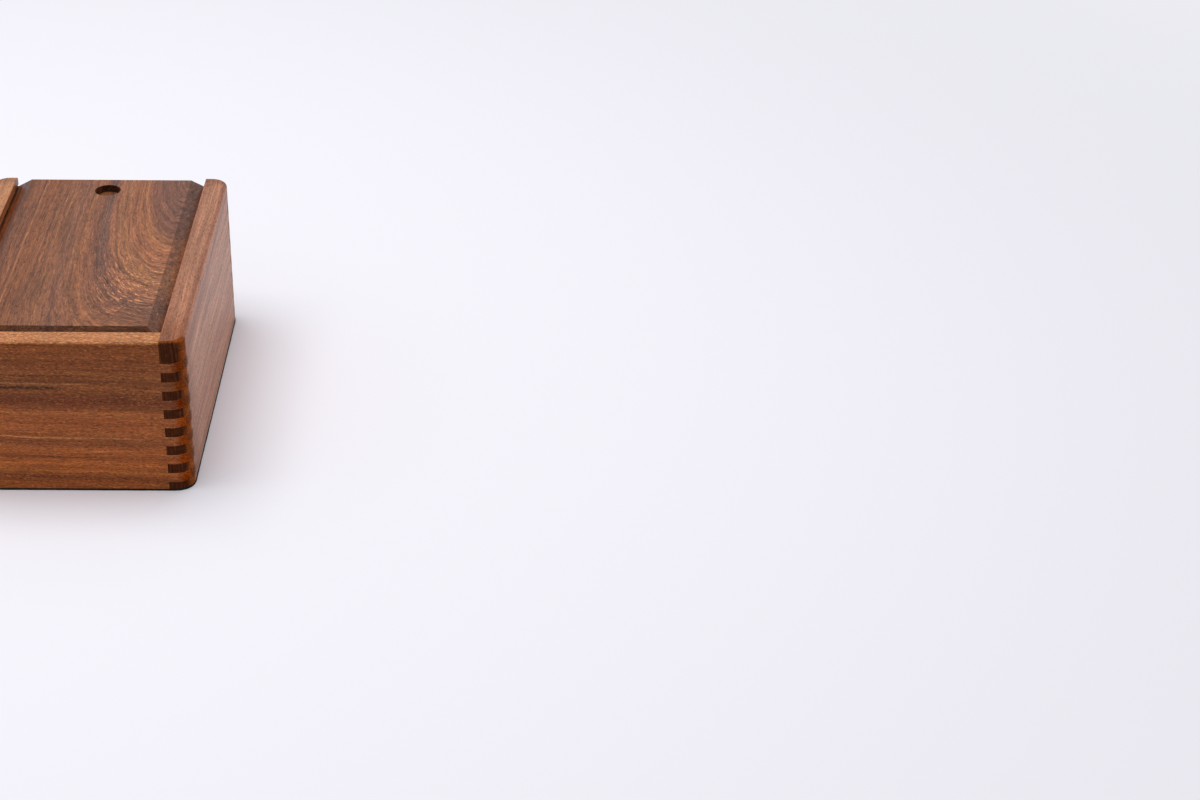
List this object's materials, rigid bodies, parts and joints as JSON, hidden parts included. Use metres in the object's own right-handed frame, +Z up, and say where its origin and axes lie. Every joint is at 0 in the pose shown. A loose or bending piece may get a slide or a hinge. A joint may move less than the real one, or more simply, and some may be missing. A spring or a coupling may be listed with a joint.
{
  "type": "chess box with a sliding lid",
  "caption": "Finger-jointed wooden chess piece box with a raised-panel lid that slides out at the back over two felt-lined compartments.",
  "frame": {"origin": "middle of the underside, where the box stands", "axes": "+Z up, +Y from the front towards the back, which is the way that the lid slides out, +X to the right"},
  "size_m": [0.158, 0.24, 0.104],
  "materials": {
    "front_board_wood": "satin, medium red-brown, grain across the width",
    "end_board_wood": "satin, medium red-brown, grain across the width",
    "side_board_wood": "satin, pinkish brown, grain along the length",
    "lid_wood": "satin, walnut brown, figured grain along the length",
    "divider_wood": "sanded, medium brown",
    "bottom_plywood": "bare plywood",
    "base_felt": "dark green felt",
    "lining_felt": "green felt"
  },
  "bodies": {
    "box": {"front_board": "front_board_wood", "back_board": "end_board_wood", "left_side": "side_board_wood", "right_side": "side_board_wood", "bottom_panel": "bottom_plywood", "base_felt": "base_felt", "divider": "divider_wood", "floor_lining_front": "lining_felt", "floor_lining_rear": "lining_felt", "front_wall_lining": "lining_felt", "divider_lining_front": "lining_felt", "left_lining_front": "lining_felt", "right_lining_front": "lining_felt", "divider_lining_rear": "lining_felt", "back_wall_lining": "lining_felt", "left_lining_rear": "lining_felt", "right_lining_rear": "lining_felt"},
    "lid": {"lid_panel": "lid_wood"}
  },
  "joints": [
    {"name": "lid_slide", "type": "slide", "parent": "box", "child": "lid", "axis": [0, 1, 0], "range_m": [0, 0.218]}
  ]
}
